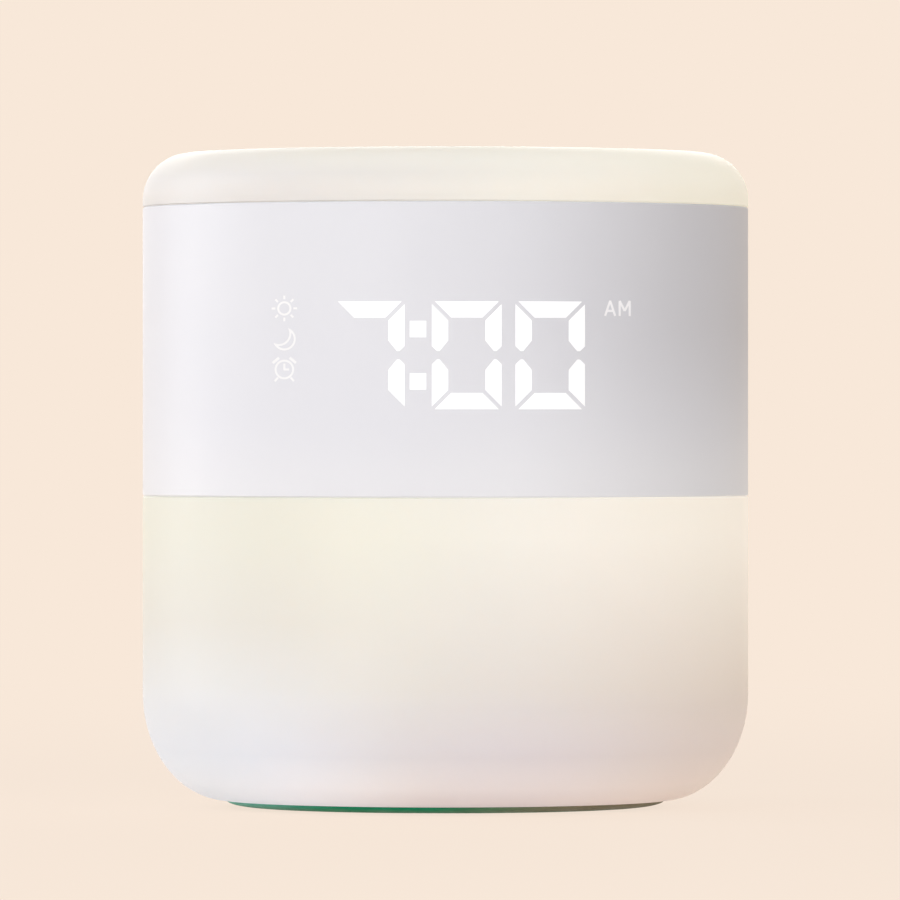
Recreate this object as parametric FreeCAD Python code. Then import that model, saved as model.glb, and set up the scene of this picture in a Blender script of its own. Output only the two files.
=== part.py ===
import FreeCAD, Part
import math
import os

from FreeCAD import Vector

# Bedside clock with night light. Millimetres, +Z up, the display looks along -Y.
# The origin is on the floor under the centre of the round body.

# Outer form
outer_r = 58.0
total_h = 125.4
foot_h = 1.3
cap_h = 10.7
band_h = 55.2
corner_rx = 16.0
corner_rz = 20.5
cap_round = 9.0
cap_crown = 0.3
diffuser_wall = 2.2
band_wall = 2.4
seam_chamfer = 0.25
part_gap = 0.2

# Foot pad
pad_in_r = 26.0
pad_round_w = 6.0
pad_edge = 0.4
pad_rib_r = 29.0
pad_rib_w = 5.0
pad_rib_h = 0.9
pad_rib_gap = 0.1

# Base plate and the diffuser's rim round it
rim_w = 1.8
base_flange_t = 2.0
flange_t = 2.2
flange_w = 6.2

# Battery well
door_w = 27.0
door_l = 37.0
door_t = 1.6
door_corner = 3.0
door_rib_h = 0.7
door_rib_t = 1.2
door_rib_in = 1.2
cell_r = 10.0
cell_t = 3.2
cell_gap = 0.3
cell_edge = 0.25
cell_step = 0.5
contact_t = 0.4
contact_w = 6.0
roof_contact_in = 1.0
well_wall = 1.4
well_roof = 1.8
door_screw_in = 3.3

# Screws: M2.6 in the casing, M2 on the boards
big_head_r = 2.6
big_head_h = 1.6
big_shank_r = 1.3
small_head_r = 1.9
small_head_h = 1.3
small_shank_r = 1.0
thread_gap = 0.03
hole_gap = 0.2
head_sink = 0.4
slot_w = 0.6
slot_deep = 0.7
screw_share = 0.8
pilot_share = 0.9
panel_screw_bite = 2.6

# Core frame
column_r = 26.0
column_wall = 2.0
base_screw_ring = 21.0
base_screw_angle = 25.0
column_boss_r = 3.0
column_boss_h = 14.0
floor_rise = 1.5
floor_t = 2.0
floor_hole_r = 9.0
band_boss_r = 3.4
band_boss_in = 6.2
band_boss_h = 11.0
band_rib_t = 3.0
reflector_foot_gap = 0.8
reflector_top_r = 28.6
reflector_t = 1.2

# Circuit boards and lamps
board_t = 1.6
led_w = 3.5
led_t = 1.4
lower_board_in_r = 30.0
lower_board_gap = 1.2
lower_led_n = 20
upper_board_gap = 1.3
upper_led_in = 5.0
upper_led_n = 16
button_led_in = 6.6
button_led_n = 6
board_rise = 4.0
main_board_in = 14.5
main_board_front_gap = 9.0
main_board_rear_gap = 8.4
standoff_r = 2.6
standoff_in = 4.0
standoff_front_in = 7.0
usb_tab_w = 10.4
usb_tab_gap = 0.6
wire_r = 0.6
lead_pair = 4.0
lower_lead_y = 36.0
upper_lead_y = 6.0
# x, y, width, depth and height of each part on the main board
chip_sizes = [(0, -6, 7.0, 7.0, 0.9), (-13, -8, 5.0, 6.0, 1.2), (12, -9, 4.0, 5.0, 1.2), (14, 8, 3.2, 5.0, 1.0),
              (-14, 9, 3.2, 1.5, 0.9), (-20, -2, 5.0, 5.0, 3.0), (20, 0, 3.0, 2.5, 1.1)]
plug_sizes = [(22, 14, 6.0, 4.5, 5.0), (-24, 14, 8.0, 4.5, 5.0)]
can_points = [(-12, 20), (-4, 20)]
can_r = 3.2
can_h = 7.0
ribbon_plug_t = 3.0
ribbon_w = 12.0
ribbon_t = 0.4
ribbon_gap = 13.0
ribbon_bend = 4.0
ribbon_rise = 13.4
ribbon_plug_over = 1.0
ribbon_plug_deep = 2.2

# Display
# Places and widths across the display are shares of its half width
digit_rise = 26.5
digit_h = 20.1
digit_w_share = 0.3553
digit_pitch_share = 0.4253
hour_share = -0.3854
tens_share = 0.108
colon_share = -0.14
icon_share = -0.8227
meridiem_share = 0.8091
stroke_w = 3.05
mitre = 0.53
apex_x = 1.2
apex_flat = 0.25
apex_z = 0.78
knee_out_z = 1.7
knee_in_z = 2.72
middle_half = 1.5
colon_rise = 4.87
colon_w = 3.07
icon_pitch = 5.7
icon_top = 8.8
icon_line = 0.38
icon_block = 5.3
sun_r = 1.15
sun_ray_from = 1.7
sun_ray_to = 2.4
sun_rays = 8
moon_r = 2.15
moon_bite_r = 2.0
moon_bite_shift = 1.05
alarm_r = 1.65
alarm_bell_line = 0.5
mark_deep = 1.2
meridiem_rise = 7.4
meridiem_drop = 2.0
meridiem_edge = 0.4
meridiem_side = 0.3
meridiem_h = 2.85
meridiem_line = 0.4
letter_w = 2.3
letter_gap = 0.45
housing_deep = 18.0
housing_side_gap = 1.6
housing_over = 3.15
housing_gap = 0.3
guide_lift = 1.2
display_led_t = 0.8
display_led_w = 1.6
display_screw_x = 20.0
display_screw_in = 1.5
display_screw_bite = 2.4
leg_boss_gap = 1.0
housing_leg_w = 7.0
housing_foot_in = 12.0
housing_foot_l = 13.0
housing_foot_t = 2.0

# Rear control panel
ledge_in = 7.6
ledge_head_gap = 0.1
ledge_foot = 0.4
window_w = 35.0
window_foot = 1.2
window_head = 3.1
panel_gap = 0.15
panel_sink = 0.8
panel_shell = 2.4
panel_flange_t = 1.5
panel_flange_w = 4.5
panel_wall = 1.5
panel_screw_in = 2.4
panel_screw_end = 5.0
key_w = 11.0
key_h = 5.0
key_corner = 1.6
key_pitch_x = 14.4
key_pitch_z = 6.5
key_margin = 1.7
key_gap = 0.15
key_over = 0.7
key_flange_t = 1.2
key_travel = 0.7
key_stem_r = 1.25
key_proud = 0.7
bore_gap = 0.05
switch_w = 4.6
switch_gap = 0.2
switch_h = 3.5
slide_drop = 6.0
slide_travel = 4.0
knob_w = 4.0
knob_h = 2.4
knob_gap = 0.1
knob_base_h = 4.4
knob_lever = 1.2
post_x = 16.2
post_r = 2.2
key_screw_bite = 4.5
switch_bite = 0.9
switch_spare = 0.3
switch_corner = 0.5
slider_h = 3.6
slider_side = 1.0
lever_bite = 1.2
lever_gap = 0.1
lever_side_gap = 0.2
slider_deep = 1.8
knob_face_gap = 0.05
knob_groove_w = 0.4
knob_groove_deep = 0.35
knob_groove_pitch = 1.0
board_edge = 0.3

# Loudspeaker and its grille
speaker_drop = 13.4
speaker_r = 10.2
speaker_collar = 0.8
gasket_t = 0.9
gasket_w = 1.9
basket_t = 1.0
basket_deep = 4.6
magnet_r = 5.6
magnet_h = 2.4
magnet_edge = 0.5
basket_rim = 0.4
vent_r = 1.5
cone_deep = 3.2
cone_edge_gap = 0.1
# Radius and depth along the cone: dome, flank and rolled edge, the last three counted from its edge
cone_dome = [(0, 1.6), (1.0, 1.45), (1.8, 1.2), (2.4, 0.8)]
cone_roll = [(1.3, 2.7), (0.8, 3.1), (0.3, 3.1), (0.0, 2.7)]
cone_t = 0.3
grille_hole_r = 0.7
grille_pitch = 2.1
grille_r = 7.6
grille_thin_over = 0.8

# Power inlet
usb_w = 8.94
usb_h = 3.26
usb_l = 7.3
usb_wall = 0.3
usb_gap = 0.15
usb_sink = 0.3
usb_corner = 1.48
usb_back_t = 1.2
tongue_w = 6.7
tongue_t = 0.7
tongue_in = 0.6

# Cap and top button
bore_r = 30.6
collar_t = 2.0
collar_z_drop = 5.1
spigot_w = 2.0
spigot_h = 1.8
button_gap = 0.25
button_t = 2.4
button_skirt_t = 2.0
button_flange_t = 1.0
button_flange_over = 1.8
button_travel = 1.0
button_dish = 0.8
button_rim = 3.0
button_edge = 0.4
snooze_ring = 16.0
snooze_n = 3
snooze_w = 6.0
snooze_h = 3.1
stem_r = 1.5
stem_bite = 1.3

# Cutting shapes run past the material by this much, and pieces that are joined sink into each other by it
over = 1.0
sink = 1.0

# Heights and radii that follow from the sizes above
band_top_z = total_h - cap_h
band_bottom_z = band_top_z - band_h
foot_edge_r = outer_r - corner_rx
corner_z = foot_h + corner_rz
diffuser_in_r = outer_r - diffuser_wall
band_in_r = outer_r - band_wall
rebate_r = foot_edge_r - rim_w
flange_in_r = rebate_r - flange_w
base_flange_z = foot_h + base_flange_t
base_top_z = base_flange_z + flange_t
reflector_foot_r = flange_in_r - reflector_foot_gap
door_top_z = foot_h + door_t
cell_z = door_top_z + door_rib_h
pocket_top_z = cell_z + cell_t + contact_t
well_top_z = pocket_top_z + well_roof
floor_top_z = band_bottom_z + floor_rise
floor_z = floor_top_z - floor_t
lower_board_z = floor_z - board_t
lower_board_r = diffuser_in_r - lower_board_gap
lower_led_ring = (lower_board_in_r + lower_board_r) / 2
boss_ring = band_in_r - band_boss_in
board_z = floor_top_z + board_rise
board_top_z = board_z + board_t
main_board_r = outer_r - main_board_in
housing_front_r = band_in_r - housing_gap
housing_back_y = outer_r - housing_deep
housing_half_w = math.sqrt(housing_front_r ** 2 - housing_back_y ** 2) - housing_side_gap
housing_foot_front = outer_r - housing_foot_in
housing_foot_back = housing_foot_front - housing_foot_l
housing_leg_x = boss_ring * math.sqrt(0.5) - band_boss_r - housing_leg_w / 2 - leg_boss_gap
main_board_front = housing_back_y - main_board_front_gap
standoff_x = (main_board_r - standoff_in) * math.sqrt(0.5)
standoff_front = main_board_front - standoff_front_in
ribbon_y = housing_back_y - ribbon_gap
ribbon_z = board_top_z + ribbon_rise
ledge_y = outer_r - ledge_in
main_board_rear = ledge_y - main_board_rear_gap
window_z0 = floor_top_z + window_foot
window_z1 = band_top_z - window_head
panel_back_y = ledge_y - panel_flange_t
panel_shell_r = outer_r - panel_sink - panel_shell
key_row_z = (window_z1 - key_margin - key_h / 2, window_z1 - key_margin - key_h / 2 - key_pitch_z)
slide_z = key_row_z[1] - slide_drop
speaker_z = slide_z - speaker_drop
usb_z = board_top_z + usb_h / 2
usb_mouth_y = outer_r - panel_sink - usb_sink
key_board_y = panel_back_y - key_flange_t - key_travel - switch_gap - switch_h
digit_z = band_bottom_z + digit_rise
digit_w = digit_w_share * housing_half_w
digit_pitch = digit_pitch_share * housing_half_w
hour_x = hour_share * housing_half_w
lead_x = hour_x - digit_pitch
tens_x = tens_share * housing_half_w
units_x = tens_x + digit_pitch
colon_x = colon_share * housing_half_w
icon_x = icon_share * housing_half_w
meridiem_x = meridiem_share * housing_half_w
am_z = digit_z + meridiem_rise
pm_z = am_z - meridiem_h - meridiem_drop
housing_z0 = digit_z - digit_h / 2 - housing_over
housing_z1 = digit_z + digit_h / 2 + housing_over
top_plate_z = band_top_z - spigot_h - part_gap - ledge_head_gap
upper_board_z = top_plate_z + floor_t
upper_board_top_z = upper_board_z + board_t
upper_board_r = boss_ring - big_head_r - upper_board_gap
upper_led_ring = upper_board_r - upper_led_in
button_led_ring = bore_r - button_led_in
button_flange_r = bore_r + button_flange_over
cap_side_z = total_h - cap_crown - cap_round
cap_in_z = total_h - cap_crown - diffuser_wall
collar_z = total_h - collar_z_drop
button_r = bore_r - button_gap


def box(x0, x1, y0, y1, z0, z1):
    return Part.makeBox(x1 - x0, y1 - y0, z1 - z0, Vector(x0, y0, z0))


def rod(r, z0, z1, x=0.0, y=0.0):
    return Part.makeCylinder(r, z1 - z0, Vector(x, y, z0))


def rod_y(r, y0, y1, x, z):
    return Part.makeCylinder(r, y1 - y0, Vector(x, y0, z), Vector(0, 1, 0))


def tube(r_out, r_in, z0, z1):
    return rod(r_out, z0, z1).cut(rod(r_in, z0, z1))


def tube_y(r_out, r_in, y0, y1, x, z):
    return rod_y(r_out, y0, y1, x, z).cut(rod_y(r_in, y0, y1, x, z))


def joined(shapes):
    return shapes[0].fuse(shapes[1:]).removeSplitter()


def group(shapes):
    return Part.makeCompound([solid for shape in shapes for solid in shape.Solids])


def turned(path):
    """Solid of revolution about Z. A step is (r, z) for a straight line, or (corner r, corner z, r, z)
    for a quarter round, or ("arc", middle r, middle z, r, z)."""
    edges = []
    last = Vector(path[0][0], 0, path[0][1])
    for step in path[1:] + [path[0]]:
        end = Vector(step[-2], 0, step[-1])
        if len(step) == 5:
            middle = Vector(step[1], 0, step[2])
            edges.append(Part.Arc(last, middle, end).toShape())
        elif len(step) == 4:
            curve = Part.BezierCurve()
            curve.setPoles([last, Vector(step[0], 0, step[1]), end])
            curve.setWeight(2, math.sqrt(0.5))
            edges.append(curve.toShape())
        elif (end - last).Length > 0.0001:
            edges.append(Part.makeLine(last, end))
        last = end
    solid = Part.Face(Part.Wire(edges)).revolve(Vector(0, 0, 0), Vector(0, 0, 1), 360)
    if solid.Volume < 0:
        solid.reverse()
    return solid


def turned_y(path, y0, x, z):
    """Solid of revolution about an axis along +Y, with heights counted from y0."""
    solid = turned(path)
    solid.rotate(Vector(0, 0, 0), Vector(1, 0, 0), -90)
    solid.translate(Vector(x, y0, z))
    return solid


def prism_y(outline, y0, y1):
    corners = [Vector(x, y0, z) for x, z in outline]
    face = Part.Face(Part.makePolygon(corners + corners[:1]))
    return face.extrude(Vector(0, y1 - y0, 0))


def rounded(solid, corner, along):
    """The solid with the edges that run along one axis, 0, 1 or 2, rounded."""
    edges = []
    for edge in solid.Edges:
        step = edge.Vertexes[1].Point - edge.Vertexes[0].Point
        if abs(step[along]) > 0.9 * edge.Length:
            edges.append(edge)
    return solid.makeFillet(corner, edges)


def block_y(x, z, w, h, corner, y0, y1):
    return rounded(box(x - w / 2, x + w / 2, y0, y1, z - h / 2, z + h / 2), corner, 1)


def ring_points(radius, angles):
    return [(radius * math.cos(math.radians(a)), radius * math.sin(math.radians(a))) for a in angles]


def even_angles(count, first=0.0):
    return [first + 360.0 * i / count for i in range(count)]


def screw_up(x, y, z_under, length, head_r, head_h, shank_r):
    """Slotted screw whose head is below z_under and whose shank goes up."""
    head = rod(head_r, z_under - head_h, z_under, x, y)
    head = head.cut(box(x - head_r, x + head_r, y - slot_w / 2, y + slot_w / 2,
                        z_under - head_h, z_under - head_h + slot_deep))
    return joined([head, rod(shank_r, z_under, z_under + length, x, y)])


def screw_down(x, y, z_over, length, head_r, head_h, shank_r):
    screw = screw_up(x, y, 0, length, head_r, head_h, shank_r)
    screw.rotate(Vector(x, y, 0), Vector(1, 0, 0), 180)
    screw.translate(Vector(0, 0, z_over))
    return screw


def screw_y(x, z, y_under, length, way):
    """Board screw along Y. The shank points to +Y where way is 1 and to -Y where way is -1."""
    screw = screw_up(0, 0, 0, length, small_head_r, small_head_h, small_shank_r)
    screw.rotate(Vector(0, 0, 0), Vector(1, 0, 0), -90 * way)
    screw.translate(Vector(x, y_under, z))
    return screw


base_screw_points = ring_points(base_screw_ring, [base_screw_angle, 180 - base_screw_angle,
                                                  180 + base_screw_angle, -base_screw_angle])
band_boss_angles = even_angles(4, 45)
band_boss_points = ring_points(boss_ring, band_boss_angles)
standoff_points = [(side * standoff_x, y) for side in (-1, 1) for y in (-standoff_front, standoff_x)]
snooze_points = ring_points(snooze_ring, even_angles(snooze_n, 90))
lower_lead_points = [(side * lead_pair / 2, lower_lead_y) for side in (-1, 1)]
upper_lead_points = [(side * lead_pair / 2, upper_lead_y) for side in (-1, 1)]
battery_lead_points = [(side * contact_w / 4, 0) for side in (-1, 1)]
leg_points = [(side * housing_leg_x, -(housing_foot_back + housing_back_y) / 2) for side in (-1, 1)]
door_screw_points = [(0, side * (door_l / 2 - door_screw_in)) for side in (-1, 1)]
display_screw_points = [(side * display_screw_x, z) for side in (-1, 1)
                        for z in (housing_z0 + display_screw_in, housing_z1 - display_screw_in)]
panel_screw_points = [(side * (window_w / 2 + panel_screw_in), z) for side in (-1, 1)
                      for z in (window_z0 + panel_screw_end, window_z1 - panel_screw_end)]
# Seen from behind, +X is on the left
key_places = {"time_key": (key_pitch_x / 2, key_row_z[0]), "alarm_key": (-key_pitch_x / 2, key_row_z[0]),
              "minus_key": (key_pitch_x / 2, key_row_z[1]), "plus_key": (-key_pitch_x / 2, key_row_z[1])}


def foot_pad():
    flat_r = foot_edge_r - pad_round_w
    pad = turned([(pad_in_r, pad_edge), (pad_in_r, 0, pad_in_r + pad_edge, 0), (flat_r, 0),
                  (foot_edge_r, 0, foot_edge_r, foot_h), (pad_in_r, foot_h)])
    return joined([pad, tube(pad_rib_r + pad_rib_w, pad_rib_r, foot_h - pad_edge, foot_h + pad_rib_h)])


def lower_diffuser():
    return turned([(foot_edge_r, foot_h), (outer_r, foot_h, outer_r, corner_z),
                   (outer_r, band_bottom_z - seam_chamfer), (outer_r - seam_chamfer, band_bottom_z),
                   (diffuser_in_r, band_bottom_z), (diffuser_in_r, corner_z),
                   (diffuser_in_r, base_top_z, foot_edge_r, base_top_z), (flange_in_r, base_top_z),
                   (flange_in_r, base_flange_z), (rebate_r, base_flange_z), (rebate_r, foot_h)])


def door_blank(gap, z0, z1):
    blank = box(-door_w / 2 - gap, door_w / 2 + gap, -door_l / 2 - gap, door_l / 2 + gap, z0, z1)
    return rounded(blank, door_corner, 2)


def base_plate():
    disc_r = rebate_r - part_gap
    disc = turned([(0, foot_h), (disc_r, foot_h), (disc_r, base_flange_z),
                   (flange_in_r - part_gap, base_flange_z), (flange_in_r - part_gap, base_top_z),
                   (0, base_top_z)])
    half_x = door_w / 2 + well_wall
    half_y = door_l / 2 + well_wall
    well = box(-half_x, half_x, -half_y, half_y, foot_h, well_top_z)
    well = well.common(rod(column_r - column_wall - part_gap, 0, total_h))
    plate = joined([disc, well])
    cuts = [tube(pad_rib_r + pad_rib_w + pad_rib_gap, pad_rib_r - pad_rib_gap, 0,
                 foot_h + pad_rib_h + pad_rib_gap)]
    cuts.append(door_blank(part_gap, 0, door_top_z))
    cuts.append(rod(cell_r + cell_gap, 0, pocket_top_z))
    cuts.append(side_contact(0.0))
    for x, y in door_screw_points:
        cuts.append(rod(big_shank_r + thread_gap, 0, well_top_z - well_roof / 2, x, y))
    for x, y in base_screw_points:
        cuts.append(rod(big_head_r + hole_gap, 0, foot_h + head_sink + big_head_h, x, y))
        cuts.append(rod(big_shank_r + hole_gap, 0, base_top_z + over, x, y))
    for x, y in battery_lead_points:
        cuts.append(rod(wire_r, pocket_top_z - over, well_top_z + over, x, y))
    return plate.cut(cuts)


def battery_door():
    door = door_blank(0, foot_h, door_top_z)
    rib_r = cell_r - door_rib_in
    door = joined([door, tube(rib_r, rib_r - door_rib_t, door_top_z - door_t / 2, cell_z)])
    cuts = []
    for x, y in door_screw_points:
        cuts.append(rod(big_head_r + hole_gap, 0, foot_h + door_t / 2, x, y))
        cuts.append(rod(big_shank_r + hole_gap, 0, door_top_z + over, x, y))
    return door.cut(cuts)


def door_screws():
    head_h = door_t / 2 - head_sink / 2
    length = well_top_z - well_roof - foot_h - door_t / 2
    return group([screw_up(x, y, foot_h + door_t / 2, length, big_head_r, head_h, big_shank_r)
                  for x, y in door_screw_points])


def base_screws():
    under = foot_h + head_sink + big_head_h
    length = base_top_z + column_boss_h * screw_share - under
    return group([screw_up(x, y, under, length, big_head_r, big_head_h, big_shank_r)
                  for x, y in base_screw_points])


def coin_cell():
    face_r = cell_r - cell_step
    side_z = cell_z + cell_step
    top_z = cell_z + cell_t
    return turned([(0, cell_z), (face_r, cell_z), (face_r, side_z), (cell_r - cell_edge, side_z),
                   (cell_r, side_z + cell_edge), (cell_r, top_z - cell_edge), (cell_r - cell_edge, top_z),
                   (0, top_z)])


def side_contact(clear):
    return box(cell_r + clear, cell_r + cell_gap + contact_t, -contact_w / 2, contact_w / 2,
               door_top_z + door_rib_h, pocket_top_z)


def cell_contacts():
    half_l = cell_r - roof_contact_in
    roof = box(-contact_w / 2, contact_w / 2, -half_l, half_l, cell_z + cell_t, pocket_top_z)
    return group([roof, side_contact(cell_gap / 3)])


def core_frame():
    column = tube(column_r, column_r - column_wall, base_top_z, floor_z + floor_t / 2)
    parts = [column, rod(band_in_r - part_gap, floor_z, floor_top_z)]
    for x, y in base_screw_points:
        boss = rod(column_boss_r, base_top_z, base_top_z + column_boss_h, x, y)
        web = box(base_screw_ring, column_r - column_wall / 2, -band_rib_t / 2, band_rib_t / 2,
                  base_top_z, base_top_z + column_boss_h)
        web.rotate(Vector(0, 0, 0), Vector(0, 0, 1), math.degrees(math.atan2(y, x)))
        parts += [boss, web]
    for x, y in standoff_points:
        parts.append(rod(standoff_r, floor_z + floor_t / 2, board_z, x, y))
    frame = joined(parts)
    cuts = [rod(floor_hole_r, floor_z - over, floor_top_z + over)]
    for x, y in base_screw_points:
        cuts.append(rod(big_shank_r + thread_gap, base_top_z - over, base_top_z + column_boss_h, x, y))
    for x, y in band_boss_points:
        cuts.append(rod(big_shank_r + hole_gap, floor_z - over, floor_top_z + over, x, y))
    for x, y in standoff_points:
        cuts.append(rod(small_shank_r + thread_gap, floor_top_z, board_z + over, x, y))
    for x, y in leg_points:
        cuts.append(rod(small_shank_r + thread_gap, floor_z - over, floor_top_z + over, x, y))
    for x, y in lower_lead_points:
        cuts.append(rod(wire_r + hole_gap, floor_z - over, floor_top_z + over, x, y))
    return frame.cut(cuts)


def lower_reflector():
    inner_foot = reflector_foot_r - reflector_t
    inner_top = reflector_top_r - reflector_t
    return turned([(reflector_foot_r, base_top_z), (reflector_top_r, lower_board_z),
                   (reflector_top_r, floor_z), (inner_top, floor_z), (inner_top, lower_board_z),
                   (inner_foot, base_top_z)])


def lamp_ring(count, radius, z0, first):
    lamps = []
    for angle in even_angles(count, first):
        lamp = box(radius - led_w / 2, radius + led_w / 2, -led_w / 2, led_w / 2, z0, z0 + led_t)
        lamp.rotate(Vector(0, 0, 0), Vector(0, 0, 1), angle)
        lamps.append(lamp)
    return lamps


def lower_led_board():
    board = tube(lower_board_r, lower_board_in_r, lower_board_z, floor_z)
    return board.cut([rod(big_head_r + hole_gap, lower_board_z - over, floor_z + over, x, y)
                      for x, y in band_boss_points])


def lower_leds():
    return group(lamp_ring(lower_led_n, lower_led_ring, lower_board_z - led_t, 180.0 / lower_led_n))


def band_screws():
    length = floor_t + band_boss_h * screw_share
    return group([screw_up(x, y, floor_z, length, big_head_r, big_head_h, big_shank_r)
                  for x, y in band_boss_points])


def segment_outline(x, name):
    """Corners of one bar of a seven-bar digit, by the letters a to g used for such digits."""
    w = digit_w / 2
    h = digit_h / 2
    if name in "ad":
        corners = [(-w + mitre, h), (w - mitre, h), (w - mitre - stroke_w, h - stroke_w),
                   (-w + mitre + stroke_w, h - stroke_w)]
    elif name == "g":
        tip = w - apex_x - mitre - apex_flat
        end = w - stroke_w - mitre
        corners = [(-tip, 0), (-end, middle_half), (end, middle_half), (tip, 0), (end, -middle_half),
                   (-end, -middle_half)]
    else:
        corners = [(-w, h - mitre), (-w + stroke_w, h - mitre - stroke_w), (-w + stroke_w, knee_in_z),
                   (-w + apex_x + apex_flat, apex_z), (-w + apex_x - apex_flat, apex_z), (-w, knee_out_z)]
    flip_x = -1 if name in "bc" else 1
    flip_z = -1 if name in "cde" else 1
    return [(x + flip_x * px, digit_z + flip_z * pz) for px, pz in corners]


def square_outline(x, z, side):
    return [(x - side / 2, z - side / 2), (x + side / 2, z - side / 2), (x + side / 2, z + side / 2),
            (x - side / 2, z + side / 2)]


def outlines_of(x, names):
    return [segment_outline(x, name) for name in names]


def clip_to(radius, shapes):
    return [shape.common(rod(radius, 0, total_h)) for shape in shapes]


def guides(outlines):
    """Light guides from just before the display board to the face of the band."""
    prisms = [prism_y(outline, -outer_r - over, -housing_back_y - guide_lift) for outline in outlines]
    return clip_to(outer_r, prisms)


def line_prism(start, end, width):
    """Straight stroke of a mark, cut through the band."""
    ax, az = start
    bx, bz = end
    length = math.hypot(bx - ax, bz - az)
    nx = -(bz - az) / length * width / 2
    nz = (bx - ax) / length * width / 2
    outline = [(ax + nx, az + nz), (bx + nx, bz + nz), (bx - nx, bz - nz), (ax - nx, az - nz)]
    return prism_y(outline, -outer_r - over, -housing_back_y)


def ring_prism(radius, x, z, width):
    return tube_y(radius + width / 2, radius - width / 2, -outer_r - over, -housing_back_y, x, z)


def icon_centre(index):
    return icon_x, digit_z + icon_top - index * icon_pitch


def sun_strokes():
    x, z = icon_centre(0)
    strokes = [ring_prism(sun_r, x, z, icon_line)]
    for dx, dz in ring_points(1.0, even_angles(sun_rays)):
        start = (x + sun_ray_from * dx, z + sun_ray_from * dz)
        strokes.append(line_prism(start, (x + sun_ray_to * dx, z + sun_ray_to * dz), icon_line))
    return strokes


def moon_strokes():
    x, z = icon_centre(1)

    def crescent(inset):
        whole = rod_y(moon_r - inset, -outer_r - over, -housing_back_y, x, z)
        return whole.cut(rod_y(moon_bite_r + inset, -outer_r - over, -housing_back_y,
                               x - moon_bite_shift, z + moon_bite_shift))

    return [crescent(0).cut(crescent(icon_line))]


def alarm_strokes():
    """Round clock face with two hands, two bells and two feet, in lines counted from its middle."""
    x, z = icon_centre(2)
    hands = [((0, -0.1), (0, 1.1)), ((-0.1, 0), (0.9, 0))]
    bell = ((1.0, 2.2), (2.2, 1.2))
    foot = ((1.2, -1.5), (1.8, -2.2))
    strokes = [ring_prism(alarm_r, x, z, icon_line)]
    strokes += [line_prism((x + ax, z + az), (x + bx, z + bz), icon_line) for (ax, az), (bx, bz) in hands]
    for side in (-1, 1):
        for ((ax, az), (bx, bz)), width in ((bell, alarm_bell_line), (foot, icon_line)):
            strokes.append(line_prism((x + side * ax, z + az), (x + side * bx, z + bz), width))
    return strokes


def letter_strokes(letter, x, z):
    """Strokes of the letters A, M and P, with (x, z) the lower left corner."""
    top = z + meridiem_h
    mid = x + letter_w / 2
    half = meridiem_line / 2
    left = x + half
    right = x + letter_w - half
    bar_z = z + meridiem_h / 3
    if letter == "A":
        lines = [((left, z), (mid, top)), ((right, z), (mid, top)),
                 ((left + meridiem_line, bar_z), (right - meridiem_line, bar_z))]
    elif letter == "M":
        lines = [((left, z), (left, top)), ((right, z), (right, top)),
                 ((left, top), (mid, bar_z)), ((right, top), (mid, bar_z))]
    else:
        lines = [((left, z), (left, top)), ((x, top - half), (right, top - half)),
                 ((x, bar_z + half), (right, bar_z + half)), ((right, bar_z), (right, top))]
    return [line_prism(start, end, meridiem_line) for start, end in lines]


def word_strokes(word, z):
    strokes = []
    for i, letter in enumerate(word):
        strokes += letter_strokes(letter, meridiem_x + i * (letter_w + letter_gap), z)
    return strokes


def icon_back(index):
    x, z = icon_centre(index)
    return square_outline(x, z, icon_block)


def word_back(z):
    x0 = meridiem_x - meridiem_side
    x1 = meridiem_x + 2 * letter_w + letter_gap + meridiem_side
    z0 = z - meridiem_edge
    z1 = z + meridiem_h + meridiem_edge
    return [(x0, z0), (x1, z0), (x1, z1), (x0, z1)]


def mark_guide(strokes, outline):
    """A small mark: its inlay in the face of the band and the light block in the housing behind it."""
    block = prism_y(outline, -outer_r, -housing_back_y - guide_lift)
    return group([inlay(strokes)] + clip_to(housing_front_r, [block]))


def colon_outlines():
    return [square_outline(colon_x, digit_z + side * colon_rise, colon_w) for side in (-1, 1)]


def bar_outlines():
    """Outlines of all bars and of the colon's two dots."""
    names = [(hour_x, "abcdefg"), (tens_x, "abcdefg"), (units_x, "abcdefg"), (lead_x, "bc")]
    return [outline for x, letters in names for outline in outlines_of(x, letters)] + colon_outlines()


def bar_channels():
    """Straight channels through the band and the housing."""
    return [prism_y(outline, -outer_r - over, -housing_back_y) for outline in bar_outlines()]


def mark_backs():
    return [icon_back(0), icon_back(1), icon_back(2), word_back(am_z), word_back(pm_z)]


def mark_inlays():
    """The marks' strokes as thin inlays in the face of the band."""
    inlays = []
    for strokes in (sun_strokes(), moon_strokes(), alarm_strokes(), word_strokes("AM", am_z),
                    word_strokes("PM", pm_z)):
        inlays.append(inlay(strokes))
    return inlays


def inlay(strokes):
    skin = tube(outer_r, outer_r - mark_deep, 0, total_h)
    return joined([stroke.common(skin) for stroke in strokes])


def hour_digit_guides():
    return group(guides(outlines_of(hour_x, "abc")))


def tens_digit_guides():
    return group(guides(outlines_of(tens_x, "abcdef")))


def units_digit_guides():
    return group(guides(outlines_of(units_x, "abcdef")))


def colon_guides():
    return group(guides(colon_outlines()))


def am_guide():
    return mark_guide(word_strokes("AM", am_z), word_back(am_z))


def icon_guides():
    return group([mark_guide(sun_strokes(), icon_back(0)), mark_guide(moon_strokes(), icon_back(1)),
                  mark_guide(alarm_strokes(), icon_back(2))])


def unlit_guides():
    outlines = outlines_of(hour_x, "defg") + outlines_of(tens_x, "g") + outlines_of(units_x, "g")
    outlines += outlines_of(lead_x, "bc")
    return group(guides(outlines) + [mark_guide(word_strokes("PM", pm_z), word_back(pm_z))])


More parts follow.
